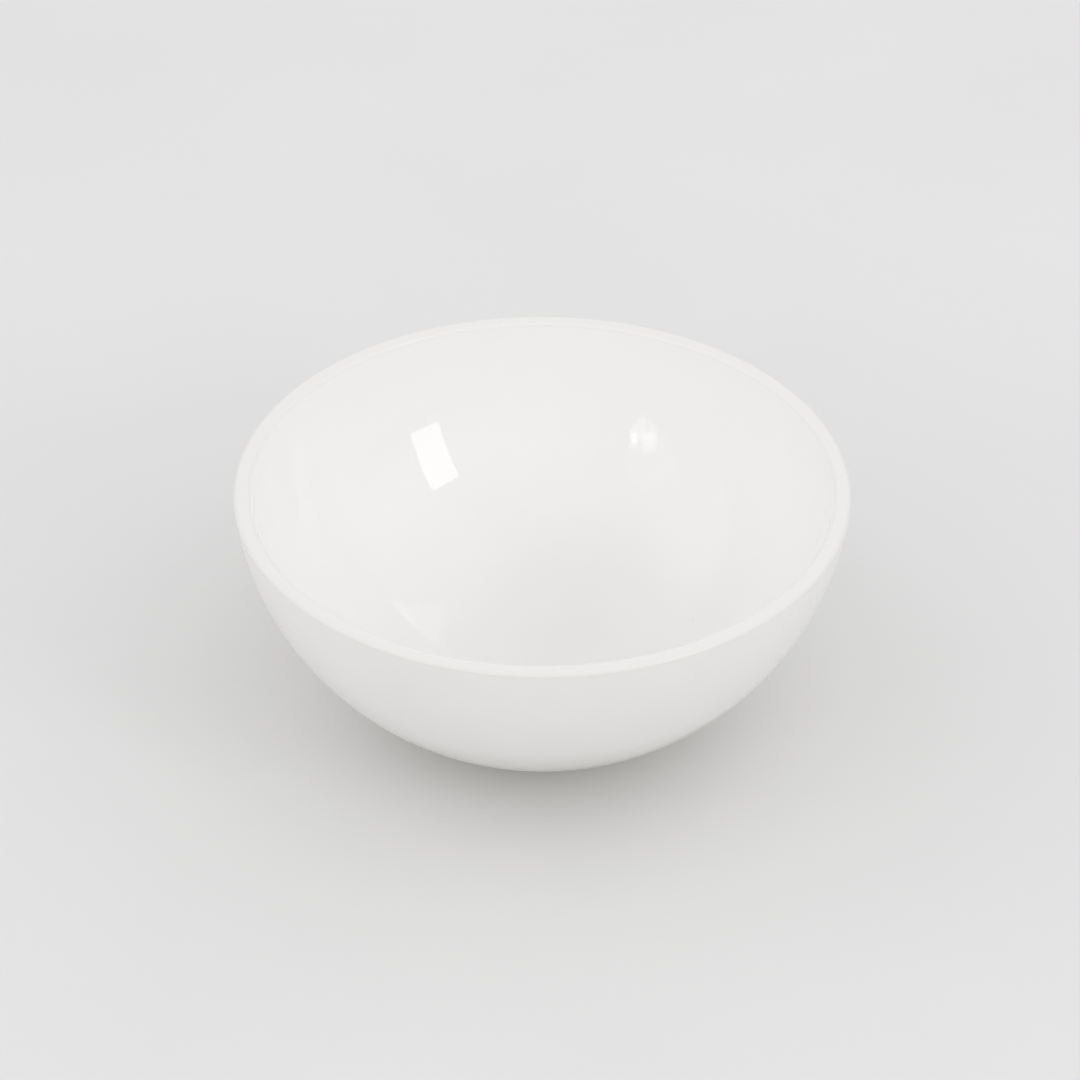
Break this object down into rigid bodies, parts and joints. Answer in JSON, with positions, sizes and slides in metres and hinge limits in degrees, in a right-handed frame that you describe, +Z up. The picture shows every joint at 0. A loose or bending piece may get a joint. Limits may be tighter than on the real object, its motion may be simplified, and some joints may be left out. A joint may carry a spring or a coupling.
{
  "type": "evaporating dish",
  "caption": "Deep round white porcelain bowl with a flat lipless rim, a small flat foot and glaze inside and out, for evaporating liquids.",
  "frame": {"origin": "centre of the flat foot, on the surface the dish stands on", "axes": "+Z up along the bowl's axis of revolution; X and Y are any two directions square to it"},
  "size_m": [0.1, 0.1, 0.044],
  "materials": {
    "biscuit_porcelain": "matt, fine-grained",
    "inner_glaze": "glossy",
    "outer_glaze": "glossy, slightly uneven"
  },
  "bodies": {
    "root": {"porcelain_body": "biscuit_porcelain", "inner_glaze": "inner_glaze", "outer_glaze": "outer_glaze"}
  },
  "joints": []
}
